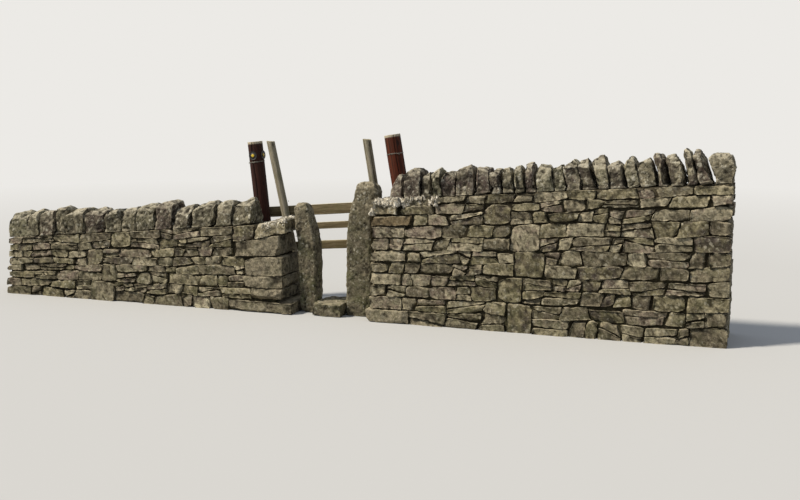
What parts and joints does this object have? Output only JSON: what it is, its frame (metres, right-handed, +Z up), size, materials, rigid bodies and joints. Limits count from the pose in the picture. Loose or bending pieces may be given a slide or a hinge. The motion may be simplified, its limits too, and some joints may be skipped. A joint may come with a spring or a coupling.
{
  "type": "dry stone wall squeeze stile",
  "caption": "Squeeze stile in a dry stone field wall: two upright stone stoops, squared wall ends, cope stones on edge and a timber post-and-rail barrier behind.",
  "frame": {"origin": "underside of the threshold stone, midway between the feet of the two stoops, in the middle plane of the wall", "axes": "+X along the wall uphill to the right, +Y through the wall from the path side to the timber side, +Z up"},
  "size_m": [7.6395, 0.9282, 1.7802],
  "materials": {
    "stoop_stone": "weathered gritstone with lichen",
    "wall_stone": "rough walling stone",
    "quoin_stone": "rough squared stone",
    "cap_stone": "stone under pale lichen",
    "brown_stone": "brown sandstone",
    "cope_stone": "rough cope stone with lichen",
    "post_timber": "treated round timber",
    "pole_timber": "bleached round timber",
    "rail_timber": "weathered sawn timber",
    "mark_dark": "moulded disc",
    "mark_yellow": "printed dot",
    "fence_wire": "dull galvanised wire"
  },
  "bodies": {
    "root": {"threshold_stone": "stoop_stone", "left_stoop": "stoop_stone", "right_stoop": "stoop_stone", "left_wall": "wall_stone", "right_wall": "wall_stone", "left_quoin_1": "quoin_stone", "left_quoin_2": "quoin_stone", "left_quoin_3": "quoin_stone", "left_quoin_4": "quoin_stone", "left_quoin_5": "quoin_stone", "left_cap_stone": "cap_stone", "right_cap_stone": "cap_stone", "right_foot_stone": "quoin_stone", "right_brown_stone": "brown_stone", "left_copes_1": "cope_stone", "left_copes_2": "cope_stone", "left_copes_3": "cope_stone", "right_copes_1": "cope_stone", "right_copes_2": "cope_stone", "right_copes_3": "cope_stone", "left_post": "post_timber", "right_post": "post_timber", "left_pole": "pole_timber", "right_pole": "pole_timber", "top_rail": "rail_timber", "middle_rail": "rail_timber", "low_rail": "rail_timber", "front_way_mark": "mark_dark", "side_way_mark": "mark_dark", "front_way_mark_dot": "mark_yellow", "side_way_mark_dot": "mark_yellow", "left_post_wire": "fence_wire", "right_post_wire": "fence_wire"}
  },
  "joints": []
}
